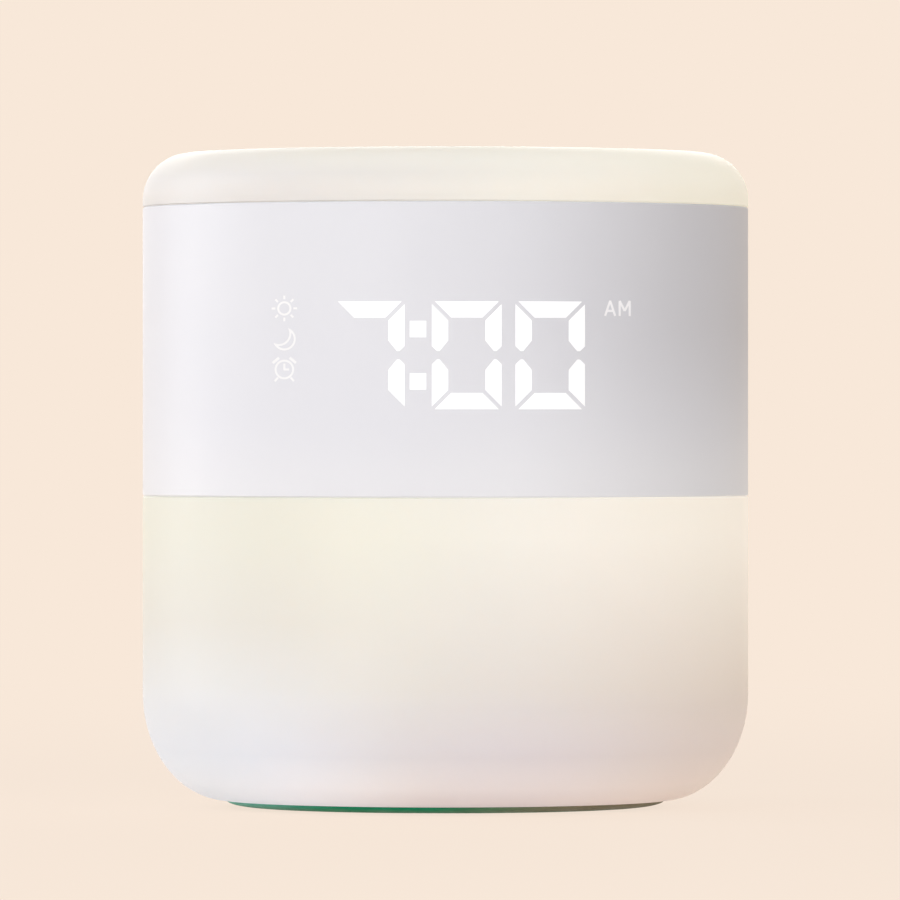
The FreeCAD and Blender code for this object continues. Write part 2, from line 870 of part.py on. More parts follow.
def display_housing():
    body = box(-housing_half_w, housing_half_w, -outer_r, -housing_back_y, housing_z0, housing_z1)
    parts = clip_to(housing_front_r, [body])
    for x, y in leg_points:
        leg = box(x - housing_leg_w / 2, x + housing_leg_w / 2, -housing_foot_front, -housing_back_y,
                  floor_top_z, housing_z0 + sink)
        foot = box(x - housing_leg_w / 2, x + housing_leg_w / 2, -housing_back_y - sink, -housing_foot_back,
                   floor_top_z, floor_top_z + housing_foot_t)
        parts += clip_to(housing_front_r, [leg]) + [foot]
    housing = joined(parts)
    cuts = bar_channels() + [prism_y(outline, -outer_r, -housing_back_y + over) for outline in mark_backs()]
    for x, z in display_screw_points:
        cuts.append(rod_y(small_shank_r + thread_gap, -housing_back_y - display_screw_bite - hole_gap,
                          -housing_back_y + over, x, z))
    for x, y in leg_points:
        cuts.append(rod(small_shank_r + hole_gap, floor_top_z - over, housing_z0, x, y))
    return housing.cut(cuts)


def display_board():
    board = box(-housing_half_w, housing_half_w, -housing_back_y, -housing_back_y + board_t,
                housing_z0, housing_z1)
    return board.cut([rod_y(small_shank_r + hole_gap, -housing_back_y - over, 0, x, z)
                      for x, z in display_screw_points])


def outline_centre(outline):
    count = len(outline)
    return sum(x for x, z in outline) / count, sum(z for x, z in outline) / count


def display_leds():
    outlines = bar_outlines() + mark_backs()
    half = display_led_w / 2
    lamps = []
    for outline in outlines:
        x, z = outline_centre(outline)
        lamps.append(box(x - half, x + half, -housing_back_y - display_led_t, -housing_back_y,
                         z - half, z + half))
    return group(lamps)


def display_screws():
    board_screws_y = [screw_y(x, z, -housing_back_y + board_t, board_t + display_screw_bite, -1)
                      for x, z in display_screw_points]
    foot_top = floor_top_z + housing_foot_t
    feet = [screw_down(x, y, foot_top, housing_foot_t + floor_t * pilot_share, small_head_r, small_head_h,
                       small_shank_r) for x, y in leg_points]
    return group(board_screws_y + feet)


def band_boss(angle, z0, z1):
    rib = box(boss_ring, band_in_r + band_wall / 4, -band_rib_t / 2, band_rib_t / 2, z0, z1)
    boss = joined([rod(band_boss_r, z0, z1, boss_ring, 0), rib])
    boss.rotate(Vector(0, 0, 0), Vector(0, 0, 1), angle)
    return boss


def display_band():
    edge_r = outer_r - seam_chamfer
    shell = turned([(band_in_r, band_bottom_z), (edge_r, band_bottom_z),
                    (outer_r, band_bottom_z + seam_chamfer), (outer_r, band_top_z - seam_chamfer),
                    (edge_r, band_top_z), (band_in_r, band_top_z)])
    ledge = box(-outer_r, outer_r, ledge_y, outer_r, floor_top_z + ledge_foot, top_plate_z - ledge_head_gap)
    parts = [shell, ledge.common(rod(band_in_r + band_wall / 4, 0, total_h))]
    for angle in band_boss_angles:
        parts.append(band_boss(angle, floor_top_z, floor_top_z + band_boss_h))
        parts.append(band_boss(angle, top_plate_z - band_boss_h, top_plate_z))
    band = joined(parts)
    half = window_w / 2
    window = box(-half, half, ledge_y - over, outer_r + over, window_z0, window_z1)
    cuts = bar_channels() + mark_inlays() + [window]
    pilot = big_shank_r + thread_gap
    for x, y in band_boss_points:
        cuts.append(rod(pilot, floor_top_z - over, floor_top_z + band_boss_h * pilot_share, x, y))
        cuts.append(rod(pilot, top_plate_z - band_boss_h * pilot_share, top_plate_z + over, x, y))
    for x, z in panel_screw_points:
        cuts.append(rod_y(small_shank_r + thread_gap, ledge_y - over,
                          ledge_y + panel_screw_bite + hole_gap, x, z))
    return band.cut(cuts)


def key_hole(x, z, w, h):
    return block_y(x, z, w + 2 * key_gap, h + 2 * key_gap, key_corner, panel_back_y - over, outer_r + over)


def rear_panel():
    half = window_w / 2 - panel_gap
    plug = box(-half, half, panel_back_y, outer_r, window_z0 + panel_gap, window_z1 - panel_gap)
    plug = plug.common(rod(outer_r - panel_sink, 0, total_h))
    wide = window_w / 2 + panel_flange_w
    flange = box(-wide, wide, panel_back_y, ledge_y, window_z0 - window_foot / 2, window_z1 + window_foot / 2)
    parts = [plug, flange]
    for side in (-1, 1):
        parts.append(rod_y(post_r, key_board_y, panel_back_y + sink, side * post_x, key_row_z[1]))
    panel = joined(parts)
    pocket_top = slide_z - knob_base_h / 2 - panel_gap
    pocket = box(-half + panel_wall, half - panel_wall, panel_back_y - over, outer_r,
                 window_z0 + panel_gap + panel_wall, pocket_top)
    pocket = pocket.common(rod(panel_shell_r, 0, total_h))
    collar = rod_y(speaker_r + speaker_collar, panel_back_y - over, outer_r, 0, speaker_z)
    thin = rod_y(grille_r + grille_thin_over, panel_back_y - over, outer_r, 0, speaker_z)
    thin = thin.common(rod(panel_shell_r, 0, total_h))
    panel = panel.cut([pocket.cut(collar), thin])
    cuts = [key_hole(x, z, key_w, key_h) for x, z in key_places.values()]
    cuts.append(block_y(0, slide_z, knob_w + slide_travel + 2 * knob_gap, knob_h + 2 * knob_gap,
                        knob_h / 4, panel_back_y - over, outer_r + over))
    cuts.append(block_y(0, usb_z, usb_w + 2 * usb_gap, usb_h + 2 * usb_gap, usb_corner,
                        panel_back_y - over, outer_r + over))
    cuts += grille_holes()
    for x, z in panel_screw_points:
        cuts.append(rod_y(small_shank_r + hole_gap, panel_back_y - over, ledge_y + over, x, z))
    for side in (-1, 1):
        cuts.append(rod_y(small_shank_r + thread_gap, key_board_y - over, panel_back_y, side * post_x,
                          key_row_z[1]))
    return panel.cut(cuts)


def grille_holes():
    """Round holes on a triangular grid inside a circle."""
    holes = []
    row_h = grille_pitch * math.sqrt(3) / 2
    rows = int(grille_r / row_h)
    for row in range(-rows, rows + 1):
        shift = grille_pitch / 2 if row % 2 else 0.0
        columns = int(grille_r / grille_pitch) + 1
        for column in range(-columns, columns + 1):
            x = column * grille_pitch + shift
            z = row * row_h
            if math.hypot(x, z) <= grille_r:
                holes.append(rod_y(grille_hole_r, panel_back_y, outer_r + over, x, speaker_z + z))
    return holes


def panel_screws():
    length = panel_flange_t + panel_screw_bite
    return group([screw_y(x, z, panel_back_y, length, 1) for x, z in panel_screw_points])


def setting_key(x, z):
    cap = block_y(x, z, key_w, key_h, key_corner, panel_back_y - part_gap, outer_r)
    cap = cap.common(rod(outer_r - panel_sink + key_proud, 0, total_h))
    flange = block_y(x, z, key_w + 2 * key_over, key_h + 2 * key_over, key_corner,
                     panel_back_y - key_flange_t, panel_back_y)
    stem_end = key_board_y + switch_h - switch_bite
    stem = rod_y(key_stem_r, stem_end, panel_back_y - key_flange_t / 2, x, z)
    return joined([cap, flange, stem])


def key_board():
    board = box(-post_x - post_r, post_x + post_r, key_board_y - board_t, key_board_y,
                slide_z - knob_base_h / 2 - board_edge, window_z1 + board_edge)
    return board.cut([rod_y(small_shank_r + hole_gap, 0, key_board_y + over, side * post_x, key_row_z[1])
                      for side in (-1, 1)])


def key_board_screws():
    return group([screw_y(side * post_x, key_row_z[1], key_board_y - board_t, board_t + key_screw_bite, 1)
                  for side in (-1, 1)])


def key_switches():
    switches = []
    depth = switch_bite + key_travel + switch_spare
    for x, z in key_places.values():
        body = block_y(x, z, switch_w, switch_w, switch_corner, key_board_y, key_board_y + switch_h)
        switches.append(body.cut(rod_y(key_stem_r + bore_gap, key_board_y + switch_h - depth,
                                       key_board_y + switch_h + over, x, z)))
    return group(switches)


def alarm_switch():
    top = key_board_y + switch_h
    half = (knob_w + slide_travel) / 2 + slider_side
    body = box(-half, half, key_board_y, top, slide_z - slider_h / 2, slide_z + slider_h / 2)
    reach = (slide_travel + knob_lever) / 2 + lever_side_gap
    half_slot = knob_lever / 2 + lever_gap
    return body.cut(box(-reach, reach, top - slider_deep, top + over, slide_z - half_slot, slide_z + half_slot))


def alarm_knob():
    x = -slide_travel / 2
    face_y = math.sqrt((outer_r - knob_face_gap) ** 2 - (abs(x) + knob_w / 2) ** 2)
    knob = block_y(x, slide_z, knob_w, knob_h, knob_h / 4, panel_back_y - part_gap, face_y)
    half_base = knob_w / 2 + slide_travel + lever_side_gap
    base = box(x - half_base, x + half_base, panel_back_y - key_flange_t, panel_back_y,
               slide_z - knob_base_h / 2, slide_z + knob_base_h / 2)
    lever = box(x - knob_lever / 2, x + knob_lever / 2, key_board_y + switch_h - lever_bite,
                panel_back_y - key_flange_t / 2, slide_z - knob_lever / 2, slide_z + knob_lever / 2)
    half = knob_groove_w / 2
    grooves = [box(x + dx - half, x + dx + half, face_y - knob_groove_deep, outer_r, slide_z - knob_h,
                   slide_z + knob_h) for dx in (-knob_groove_pitch, 0.0, knob_groove_pitch)]
    return joined([knob, base, lever]).cut(grooves)


def speaker_gasket():
    y0 = panel_back_y - gasket_t
    return tube_y(speaker_r, speaker_r - gasket_w, y0, panel_back_y, 0, speaker_z)


def speaker_basket():
    inner = speaker_r - gasket_w - basket_rim
    neck = magnet_r - basket_rim
    rim_z = basket_deep - basket_t
    path = [(magnet_r, 0), (inner + basket_rim, rim_z), (speaker_r, rim_z), (speaker_r, basket_deep),
            (inner, basket_deep), (inner, rim_z), (neck, basket_t), (vent_r, basket_t), (vent_r, 0)]
    return turned_y(path, panel_back_y - gasket_t - basket_deep, 0, speaker_z)


def speaker_cone():
    """Thin cone with a shallow dome in its middle and a rolled edge."""
    edge_r = speaker_r - gasket_w - basket_rim - cone_edge_gap
    line = cone_dome + [(edge_r - inset, z) for inset, z in cone_roll]
    path = line + [(r, z - cone_t) for r, z in reversed(line)]
    return turned_y(path, panel_back_y - gasket_t - cone_deep, 0, speaker_z)


def speaker_magnet():
    back_y = panel_back_y - gasket_t - basket_deep - magnet_h
    path = [(0, 0), (magnet_r - magnet_edge, 0), (magnet_r, magnet_edge), (magnet_r, magnet_h), (0, magnet_h)]
    return turned_y(path, back_y, 0, speaker_z)


def main_board():
    disc = rod(main_board_r, board_z, board_top_z)
    disc = disc.common(box(-outer_r, outer_r, -main_board_front, main_board_rear, board_z, board_top_z))
    tab = box(-usb_tab_w / 2, usb_tab_w / 2, 0, panel_shell_r - usb_tab_gap, board_z, board_top_z)
    board = joined([disc, tab])
    cuts = [rod(small_shank_r + hole_gap, board_z - over, board_top_z + over, x, y) for x, y in standoff_points]
    return board.cut(cuts)


def board_screws():
    return group([screw_down(x, y, board_top_z, board_t + board_rise * screw_share, small_head_r, small_head_h,
                             small_shank_r) for x, y in standoff_points])


def on_board(sizes):
    return [box(x - w / 2, x + w / 2, y - d / 2, y + d / 2, board_top_z, board_top_z + h)
            for x, y, w, d, h in sizes]


def main_chips():
    return group(on_board(chip_sizes) + [rod(can_r, board_top_z, board_top_z + can_h, x, y)
                                         for x, y in can_points])


def board_connectors():
    width = ribbon_w + 2 * ribbon_plug_over
    ribbon_plug = (0, -ribbon_y, width, ribbon_plug_t, ribbon_plug_t)
    y0 = -housing_back_y + board_t
    display_plug = box(-width / 2, width / 2, y0, y0 + ribbon_plug_deep, ribbon_z - ribbon_plug_t / 2,
                       ribbon_z + ribbon_plug_t / 2)
    return group(on_board(plug_sizes + [ribbon_plug]) + [display_plug])


def display_ribbon():
    """Flat lead from the main board up and forward to the back of the display board."""
    half = ribbon_w / 2
    z0 = board_top_z + ribbon_plug_t
    y_end = -housing_back_y + board_t + ribbon_plug_deep
    middle_z = ribbon_z - ribbon_bend
    rise = box(-half, half, -ribbon_y - ribbon_t / 2, -ribbon_y + ribbon_t / 2, z0, middle_z)
    run = box(-half, half, y_end, -ribbon_y - ribbon_bend, ribbon_z - ribbon_t / 2, ribbon_z + ribbon_t / 2)
    outer = ribbon_bend + ribbon_t / 2
    middle = Vector(-half, -ribbon_y - ribbon_bend, middle_z)
    bend = Part.makeCylinder(outer, ribbon_w, middle, Vector(1, 0, 0))
    bend = bend.cut(Part.makeCylinder(outer - ribbon_t, ribbon_w, middle, Vector(1, 0, 0)))
    bend = bend.common(box(-half, half, middle.y, 0, middle_z, middle_z + 2 * outer))
    return joined([rise, bend, run])


def battery_leads():
    return group([rod(wire_r, pocket_top_z, board_z, x, y) for x, y in battery_lead_points])


def led_leads():
    lower = [rod(wire_r, floor_z, board_z, x, y) for x, y in lower_lead_points]
    upper = [rod(wire_r, board_top_z, upper_board_z, x, y) for x, y in upper_lead_points]
    return group(lower + upper)


def usb_socket():
    back = usb_mouth_y - usb_l
    shell = block_y(0, usb_z, usb_w, usb_h, usb_corner, back, usb_mouth_y)
    inner = block_y(0, usb_z, usb_w - 2 * usb_wall, usb_h - 2 * usb_wall, usb_corner - usb_wall,
                    back + usb_back_t, usb_mouth_y + over)
    tongue = box(-tongue_w / 2, tongue_w / 2, back + usb_back_t / 2, usb_mouth_y - tongue_in,
                 usb_z - tongue_t / 2, usb_z + tongue_t / 2)
    return joined([shell.cut(inner), tongue])


def top_plate():
    plate = rod(boss_ring + band_boss_r, top_plate_z, upper_board_z)
    cuts = [rod(floor_hole_r, top_plate_z - over, upper_board_z + over)]
    cuts += [rod(big_shank_r + hole_gap, top_plate_z - over, upper_board_z + over, x, y)
             for x, y in band_boss_points]
    return plate.cut(cuts)


def top_plate_screws():
    length = floor_t + band_boss_h * screw_share
    return group([screw_down(x, y, upper_board_z, length, big_head_r, big_head_h, big_shank_r)
                  for x, y in band_boss_points])


def upper_led_board():
    return rod(upper_board_r, upper_board_z, upper_board_top_z)


def upper_leds():
    lamps = lamp_ring(upper_led_n, upper_led_ring, upper_board_top_z, 180.0 / upper_led_n)
    return group(lamps + lamp_ring(button_led_n, button_led_ring, upper_board_top_z, 180.0 / button_led_n))


def snooze_switches():
    top = upper_board_top_z + snooze_h
    depth = stem_bite + button_travel + switch_spare
    bodies = []
    for x, y in snooze_points:
        half = snooze_w / 2
        body = box(x - half, x + half, y - half, y + half, upper_board_top_z, top)
        bodies.append(body.cut(rod(stem_r + bore_gap, top - depth, top + over, x, y)))
    return group(bodies)


def top_diffuser():
    spigot_r = band_in_r - part_gap
    corner_r = outer_r - cap_round
    shoulder_z = total_h - cap_crown
    spigot_z = band_top_z - spigot_h
    return turned([(outer_r - seam_chamfer, band_top_z), (outer_r, band_top_z + seam_chamfer),
                   (outer_r, cap_side_z), (outer_r, shoulder_z, corner_r, shoulder_z),
                   (bore_r + button_edge, total_h), (bore_r, total_h - button_edge), (bore_r, collar_z),
                   (bore_r + collar_t, collar_z), (bore_r + collar_t, cap_in_z), (corner_r, cap_in_z),
                   (diffuser_in_r, cap_in_z, diffuser_in_r, cap_side_z), (spigot_r - spigot_w, cap_side_z),
                   (spigot_r - spigot_w, spigot_z), (spigot_r, spigot_z), (spigot_r, band_top_z)])


def top_button():
    dish_r = button_r - button_rim
    under_z = total_h - button_t
    skirt_r = button_r - button_skirt_t
    flange_z = collar_z - button_flange_t
    plate = turned([(0, total_h - button_dish), ("arc", dish_r / 2, total_h - 0.75 * button_dish, dish_r, total_h),
                    (button_r - button_edge, total_h), (button_r, total_h - button_edge),
                    (button_r, collar_z), (button_flange_r, collar_z), (button_flange_r, flange_z),
                    (skirt_r, flange_z), (skirt_r, under_z), (0, under_z)])
    stem_z = upper_board_top_z + snooze_h - stem_bite
    stems = [rod(stem_r, stem_z, under_z + button_t / 3, x, y) for x, y in snooze_points]
    return joined([plate] + stems)


parts = {
    "foot_pad": foot_pad, "base_plate": base_plate, "base_screws": base_screws,
    "battery_door": battery_door, "door_screws": door_screws, "coin_cell": coin_cell,
    "cell_contacts": cell_contacts, "lower_diffuser": lower_diffuser, "core_frame": core_frame,
    "lower_reflector": lower_reflector, "lower_led_board": lower_led_board, "lower_leds": lower_leds,
    "band_screws": band_screws, "display_band": display_band, "display_housing": display_housing,
    "display_board": display_board, "display_leds": display_leds, "display_screws": display_screws,
    "hour_digit_guides": hour_digit_guides, "tens_digit_guides": tens_digit_guides,
    "units_digit_guides": units_digit_guides, "colon_guides": colon_guides, "am_guide": am_guide,
    "icon_guides": icon_guides, "unlit_guides": unlit_guides, "main_board": main_board,
    "main_chips": main_chips, "board_connectors": board_connectors, "board_screws": board_screws,
    "display_ribbon": display_ribbon, "battery_leads": battery_leads, "led_leads": led_leads,
    "usb_socket": usb_socket, "rear_panel": rear_panel, "panel_screws": panel_screws,
    "key_board": key_board, "key_switches": key_switches, "key_board_screws": key_board_screws,
    "alarm_switch": alarm_switch, "alarm_knob": alarm_knob, "speaker_gasket": speaker_gasket,
    "speaker_basket": speaker_basket, "speaker_cone": speaker_cone, "speaker_magnet": speaker_magnet,
    "top_plate": top_plate, "top_plate_screws": top_plate_screws, "upper_led_board": upper_led_board,
    "upper_leds": upper_leds, "snooze_switches": snooze_switches, "top_diffuser": top_diffuser,
    "top_button": top_button,
}


def write(name, shape):
    shape.exportStep(os.path.join("parts", name + ".step"))
    print(name, len(shape.Solids), round(shape.Volume, 2), shape.isValid())


os.makedirs("parts", exist_ok=True)
for part_name, make in parts.items():
    write(part_name, make())
for key_name, (key_x, key_z) in key_places.items():
    write(key_name, setting_key(key_x, key_z))
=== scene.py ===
import math

import bmesh
import bpy
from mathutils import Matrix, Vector


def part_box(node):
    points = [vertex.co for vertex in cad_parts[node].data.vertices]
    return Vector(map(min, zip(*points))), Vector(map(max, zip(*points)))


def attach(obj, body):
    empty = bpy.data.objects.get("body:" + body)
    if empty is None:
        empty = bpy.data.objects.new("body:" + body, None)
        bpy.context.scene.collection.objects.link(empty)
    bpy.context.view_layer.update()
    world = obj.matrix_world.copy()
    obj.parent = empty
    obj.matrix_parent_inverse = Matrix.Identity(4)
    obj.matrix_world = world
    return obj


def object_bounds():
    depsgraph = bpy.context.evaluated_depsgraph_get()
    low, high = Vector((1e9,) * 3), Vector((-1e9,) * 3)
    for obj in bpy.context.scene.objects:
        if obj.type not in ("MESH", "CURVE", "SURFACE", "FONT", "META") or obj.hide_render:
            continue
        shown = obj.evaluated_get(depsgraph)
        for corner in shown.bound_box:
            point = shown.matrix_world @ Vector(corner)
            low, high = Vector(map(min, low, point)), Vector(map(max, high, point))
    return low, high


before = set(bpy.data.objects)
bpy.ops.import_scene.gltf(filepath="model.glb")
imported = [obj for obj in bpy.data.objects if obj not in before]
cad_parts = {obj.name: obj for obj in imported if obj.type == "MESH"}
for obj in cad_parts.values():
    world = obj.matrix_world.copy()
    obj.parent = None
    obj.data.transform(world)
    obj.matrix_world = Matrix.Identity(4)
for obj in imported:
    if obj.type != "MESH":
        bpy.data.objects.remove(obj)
cad_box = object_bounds()

# Bedside clock with night light. Metres, +Z up, the display looks along -Y.
MM = 0.001

# The photograph's view: a level, distant camera, its frame 900 pixels wide
PHOTO_SIZE = 900
CENTRE_COLUMN = 445.5
HORIZON_ROW = 430.5
CAMERA_AWAY = 1.917
CAMERA_HEIGHT = 0.072
FOCAL_PIXELS = 10000
SENSOR_WIDTH = 36.0
CLIP_START = 0.1
CLIP_END = 50.0

# Studio
BACKDROP = (0.939, 0.807, 0.694)
FLOOR_SPECKLE = (0.8, 0.7, 0.6)
FLOOR_R = 6.0
FLOOR_SIDES = 96
FLOOR_DROP = 0.0002
SHADOW_R = 0.10
SHADOW_END_R = 0.9
FLOOR_EVENNESS = 0.9
LIGHT_TINT = (0.98, 1.0, 1.04)
LIGHT_TARGET = (0, 0, 0.065)
WORLD_LEFT = 0.37
WORLD_RIGHT = 0.10

# The two ends of a blend of light
BLACK = (0.0, 0.0, 0.0)
WHITE = (1.0, 1.0, 1.0)

# Widest radius, and heights that the finishes go by, to the nearest mm
OUTER_R = cad_box[1].x
BAND_MIDDLE = 87 * MM
CAP_LIGHT_FROM = 85 * MM
CAP_LIGHT_FULL = 90 * MM

# Raised signs and the round faces that carry them. LEGEND_H, the pitch and the strokes are in mm.
PANEL_R = OUTER_R - 0.8 * MM
KEY_R = OUTER_R - 0.1 * MM
PRINT_LIFT = 0.03 * MM
PRINT_SINK = 0.12 * MM
LEGEND_X = 8.4 * MM
LEGEND_H = 1.7
LEGEND_PITCH = 1.75
LEGEND_STROKE = 0.28
SIGN_STROKE = 0.34
DOOR_STROKE = 0.8
MITRE_LIMIT = 0.4


def centre_of(node):
    low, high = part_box(node)
    return (low + high) / 2


def make_camera():
    data = bpy.data.cameras.new("camera")
    data.sensor_width = SENSOR_WIDTH
    data.lens = SENSOR_WIDTH * FOCAL_PIXELS / PHOTO_SIZE
    data.shift_x = (PHOTO_SIZE / 2 - CENTRE_COLUMN) / PHOTO_SIZE
    data.shift_y = (HORIZON_ROW - PHOTO_SIZE / 2) / PHOTO_SIZE
    data.clip_start = CLIP_START
    data.clip_end = CLIP_END
    camera = bpy.data.objects.new("camera", data)
    camera.location = (0, -CAMERA_AWAY, CAMERA_HEIGHT)
    camera.rotation_euler = (math.pi / 2, 0, 0)
    bpy.context.scene.collection.objects.link(camera)
    bpy.context.scene.camera = camera


class Nodes:
    """Adds shader nodes to one tree. A socket value is a number, a tuple or another node's output."""

    def __init__(self, tree):
        self.tree = tree

    def add(self, kind, inputs=(), **settings):
        node = self.tree.nodes.new("ShaderNode" + kind)
        for name, value in settings.items():
            setattr(node, name, value)
        for key, value in dict(inputs).items():
            self.put(node.inputs[key], value)
        return node

    def put(self, socket, value):
        if isinstance(value, bpy.types.NodeSocket):
            self.tree.links.new(value, socket)
        elif isinstance(value, tuple) and len(value) == 3 and socket.type == "RGBA":
            socket.default_value = (*value, 1.0)
        else:
            socket.default_value = value

    def place(self):
        return self.add("TexCoord").outputs["Object"]

    def noise(self, scale, detail=2.0, rough=0.5, stretch=None):
        where = self.place()
        if stretch:
            where = self.add("Mapping", {"Vector": where, "Scale": stretch}).outputs["Vector"]
        inputs = {"Vector": where, "Scale": scale, "Detail": detail, "Roughness": rough}
        return self.add("TexNoise", inputs).outputs["Fac"]

    def remap(self, value, low, high, to_low=0.0, to_high=1.0, smooth=False):
        inputs = {"Value": value, "From Min": low, "From Max": high, "To Min": to_low, "To Max": to_high}
        kind = "SMOOTHSTEP" if smooth else "LINEAR"
        return self.add("MapRange", inputs, interpolation_type=kind).outputs["Result"]

    def maths(self, operation, a, b=0.0):
        return self.add("Math", {0: a, 1: b}, operation=operation).outputs["Value"]

    def times(self, a, b):
        return self.maths("MULTIPLY", a, b)

    def off(self, a, b):
        """How far a lies from b, to either side."""
        return self.maths("ABSOLUTE", self.maths("SUBTRACT", a, b))

    def blend(self, share, a, b, kind="MIX"):
        node = self.add("Mix", data_type="RGBA", blend_type=kind)
        self.put(node.inputs[0], share)
        self.put(node.inputs[6], a)
        self.put(node.inputs[7], b)
        return node.outputs[2]

    def axes(self):
        split = self.add("SeparateXYZ", {"Vector": self.place()})
        return split.outputs["X"], split.outputs["Y"], split.outputs["Z"]

    def bump(self, height, distance, strength, normal=None):
        inputs = {"Height": height, "Distance": distance, "Strength": strength}
        if normal:
            inputs["Normal"] = normal
        return self.add("Bump", inputs).outputs["Normal"]

    def edges(self, radius):
        """1 close to a sharp edge and 0 on the open surface."""
        bevel = self.add("Bevel", {"Radius": radius}, samples=4)
        plain = self.add("NewGeometry").outputs["Normal"]
        dot = self.add("VectorMath", {0: bevel.outputs["Normal"], 1: plain}, operation="DOT_PRODUCT")
        return self.remap(dot.outputs["Value"], 0.995, 0.85)

    def rubbed(self, radius, patches, low):
        """Edges that handling has rubbed, in patches."""
        return self.times(self.edges(radius), self.remap(self.noise(patches, 3.0), low, 0.7))

    def seen(self):
        """1 for what the camera, a mirror or clear plastic sees, and 0 for light that falls on things."""
        path = self.add("LightPath").outputs
        direct = self.maths("MAXIMUM", path["Is Camera Ray"], path["Is Glossy Ray"])
        return self.maths("MAXIMUM", direct, path["Is Transmission Ray"])


def new_material(name):
    material = bpy.data.materials.new(name)
    material.use_nodes = True
    return material, Nodes(material.node_tree), material.node_tree.nodes["Principled BSDF"]


def shade(colour, factor):
    return tuple(min(1.0, c * factor) for c in colour)


def plastic(name, colour, rough=0.45, grain=0.03, grain_size=0.25, wear=0.25, edge_r=0.25, subsurface=0.0):
    """Moulded plastic: fine spark-eroded grain, soft mottling, rubbed edges and faint handling marks.
    Grain depth, grain size and edge radius are in mm."""
    material, nodes, shader = new_material(name)
    mottle = nodes.remap(nodes.noise(90.0, 4.0), 0.3, 0.7)
    base = nodes.blend(mottle, shade(colour, 0.965), shade(colour, 1.02))
    rubbed = nodes.rubbed(edge_r * MM, 700.0, 0.35)
    base = nodes.blend(nodes.times(rubbed, wear), base, shade(colour, 1.35))
    nodes.put(shader.inputs["Base Color"], base)
    smear = nodes.noise(160.0, 5.0, 0.6, stretch=(1.0, 1.0, 0.35))
    nodes.put(shader.inputs["Roughness"], nodes.remap(smear, 0.3, 0.7, rough - 0.05, rough + 0.07))
    fine = nodes.noise(1.0 / (grain_size * MM), 3.0, 0.6)
    nodes.put(shader.inputs["Normal"], nodes.bump(fine, grain * MM, 0.5))
    shader.inputs["IOR"].default_value = 1.5
    if subsurface:
        shader.inputs["Subsurface Weight"].default_value = subsurface
        shader.inputs["Subsurface Radius"].default_value = (1.0, 0.8, 0.7)
        shader.inputs["Subsurface Scale"].default_value = 2.0 * MM
    return material


def metal(name, colour, rough=0.3, brushed=(1.0, 1.0, 1.0)):
    """Plated or stamped metal with drawn lines, dull patches and bright edges."""
    material, nodes, shader = new_material(name)
    dull = nodes.remap(nodes.noise(260.0, 5.0, 0.6), 0.35, 0.75)
    base = nodes.blend(nodes.times(dull, 0.25), colour, shade(colour, 0.55))
    base = nodes.blend(nodes.times(nodes.edges(0.12 * MM), 0.6), base, shade(colour, 1.3))
    nodes.put(shader.inputs["Base Color"], base)
    lines = nodes.noise(2500.0, 2.0, 0.5, stretch=brushed)
    nodes.put(shader.inputs["Roughness"], nodes.remap(lines, 0.3, 0.7, rough - 0.07, rough + 0.12))
    nodes.put(shader.inputs["Normal"], nodes.bump(lines, 0.01 * MM, 0.4))
    shader.inputs["Metallic"].default_value = 1.0
    return material


def inlet():
    """Plated shell with a black plastic tongue and back wall inside."""
    material = metal("socket_steel", (0.62, 0.62, 0.61), rough=0.25, brushed=(1.0, 1.0, 6.0))
    nodes = Nodes(material.node_tree)
    shader = material.node_tree.nodes["Principled BSDF"]
    middle = centre_of("usb_socket")
    x, _, z = nodes.axes()
    within_width = nodes.remap(nodes.off(x, middle.x), 4.0 * MM, 3.9 * MM)
    within_height = nodes.remap(nodes.off(z, middle.z), 1.2 * MM, 1.1 * MM)
    inside = nodes.times(within_width, within_height)
    steel = shader.inputs["Base Color"].links[0].from_socket
    nodes.put(shader.inputs["Base Color"], nodes.blend(inside, steel, (0.02, 0.02, 0.022)))
    nodes.put(shader.inputs["Metallic"], nodes.maths("SUBTRACT", 1.0, inside))
    return material


def sum_of(nodes, *terms):
    """Adds up light, each term a share and a colour."""
    total = nodes.blend(terms[0][0], BLACK, terms[0][1])
    for share, colour in terms[1:]:
        total = nodes.blend(1.0, total, nodes.blend(share, BLACK, colour), "ADD")
    return total


def shell_glow(nodes, x, z):
    """Painted glow: the light of the lamps under the band, painted on as emission, which fades downwards,
    with painted light warmer on one side and cooler low on the other. A painted bounce from the table
    brightens the foot, with a breath of lilac above it."""
    under_band = nodes.remap(z, 20 * MM, 52 * MM)
    across = nodes.remap(x, -45 * MM, OUTER_R, smooth=True)
    # Painted light: warm emission on one side.
    warm_side = nodes.remap(x, 0.0, OUTER_R, smooth=True)
    other_side = nodes.remap(x, 0.0, -40 * MM, smooth=True)
    # Painted light: cool emission low on the other side.
    cool_side = nodes.times(nodes.remap(z, 36 * MM, 10 * MM), other_side)
    near_middle = nodes.remap(nodes.maths("ABSOLUTE", x), 55 * MM, 15 * MM, 0.45, 1.0, smooth=True)
    # Painted bounce light from the table on the foot, and painted lilac light just above it.
    foot = nodes.times(nodes.remap(z, 11 * MM, 5 * MM), near_middle)
    lilac = nodes.times(nodes.remap(z, 24 * MM, 13 * MM), near_middle)
    cream = nodes.blend(across, (0.055, 0.07, 0.0), (0.205, 0.215, 0.195))
    return sum_of(
        nodes,
        (under_band, cream),
        (warm_side, (0.165, 0.12, 0.08)),
        (cool_side, (0.06, 0.12, 0.17)),
        (foot, (0.15, 0.135, 0.11)),
        (lilac, (0.0, 0.01, 0.07)),
    )


